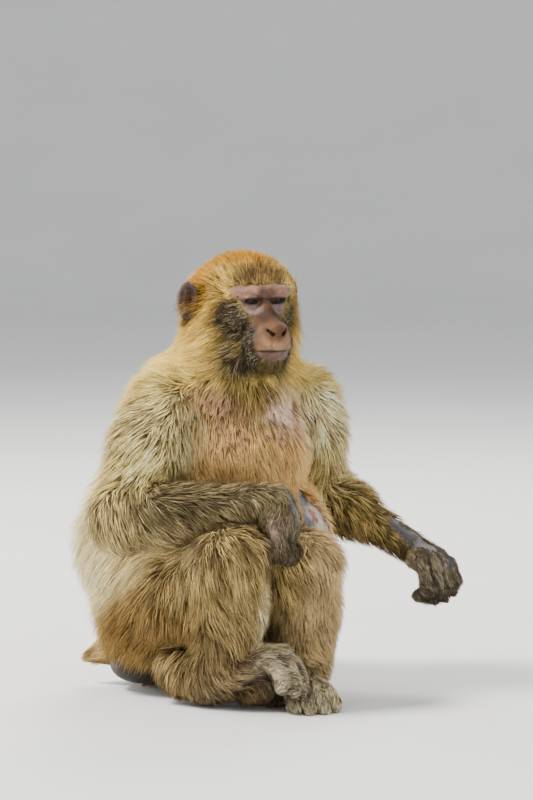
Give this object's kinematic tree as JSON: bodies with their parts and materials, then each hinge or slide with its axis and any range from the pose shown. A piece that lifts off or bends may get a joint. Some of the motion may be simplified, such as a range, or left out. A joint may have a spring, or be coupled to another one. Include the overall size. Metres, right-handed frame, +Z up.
{
  "type": "sitting monkey figure",
  "caption": "Life-size still model of an adult tailless macaque, sitting upright with knees drawn up, one hand over a knee and the other arm reaching to its side.",
  "frame": {"origin": "on the floor, on the flat of the animal's seat, near the front of the rump", "axes": "+Z up through the head, the animal faces -Y, its own left is +X"},
  "size_m": [0.4198, 0.346, 0.4626],
  "materials": {
    "fur": "matt, dense coat, cream-gold to orange-gold with dark flecks",
    "skin": "satin bare skin under short hair",
    "ear": "satin bare skin with a rim of hair",
    "eye": "wet gloss"
  },
  "bodies": {
    "root": {"head": "fur", "neck": "fur", "trunk": "fur", "eye_left": "eye", "eye_right": "eye", "ear_left": "ear", "ear_right": "ear", "upper_arm_right": "fur", "forearm_right": "fur", "hand_right": "skin", "upper_arm_left": "fur", "forearm_left": "fur", "hand_left": "skin", "thigh_right": "fur", "shin_right": "fur", "foot_right": "skin", "thigh_left": "fur", "shin_left": "fur", "foot_left": "skin"}
  },
  "joints": []
}
